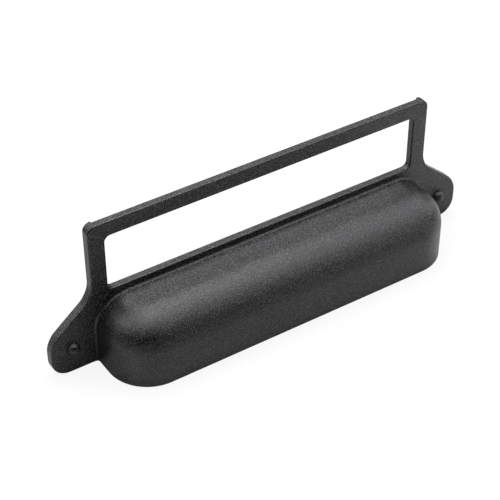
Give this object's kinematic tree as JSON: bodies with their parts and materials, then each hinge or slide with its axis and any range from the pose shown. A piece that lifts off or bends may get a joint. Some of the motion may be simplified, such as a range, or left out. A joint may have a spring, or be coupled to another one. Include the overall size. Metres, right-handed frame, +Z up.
{
  "type": "cup pull handle with label frame",
  "caption": "Cast cup pull for a drawer or cabinet: a hollow finger cup open below, a label window above it, and sloping ears that are fixed from behind.",
  "frame": {"origin": "midway between the two fixing holes, on the flat back that lies against the drawer front", "axes": "+X along the handle to the right as seen from the front, +Y through the flat back towards the drawer front, with the cup towards -Y, +Z up towards the label frame"},
  "size_m": [0.1766, 0.0272, 0.0582],
  "materials": {
    "black_powder_coat": "matt black powder coat with a fine grain"
  },
  "bodies": {
    "root": {"handle": "black_powder_coat"}
  },
  "joints": []
}
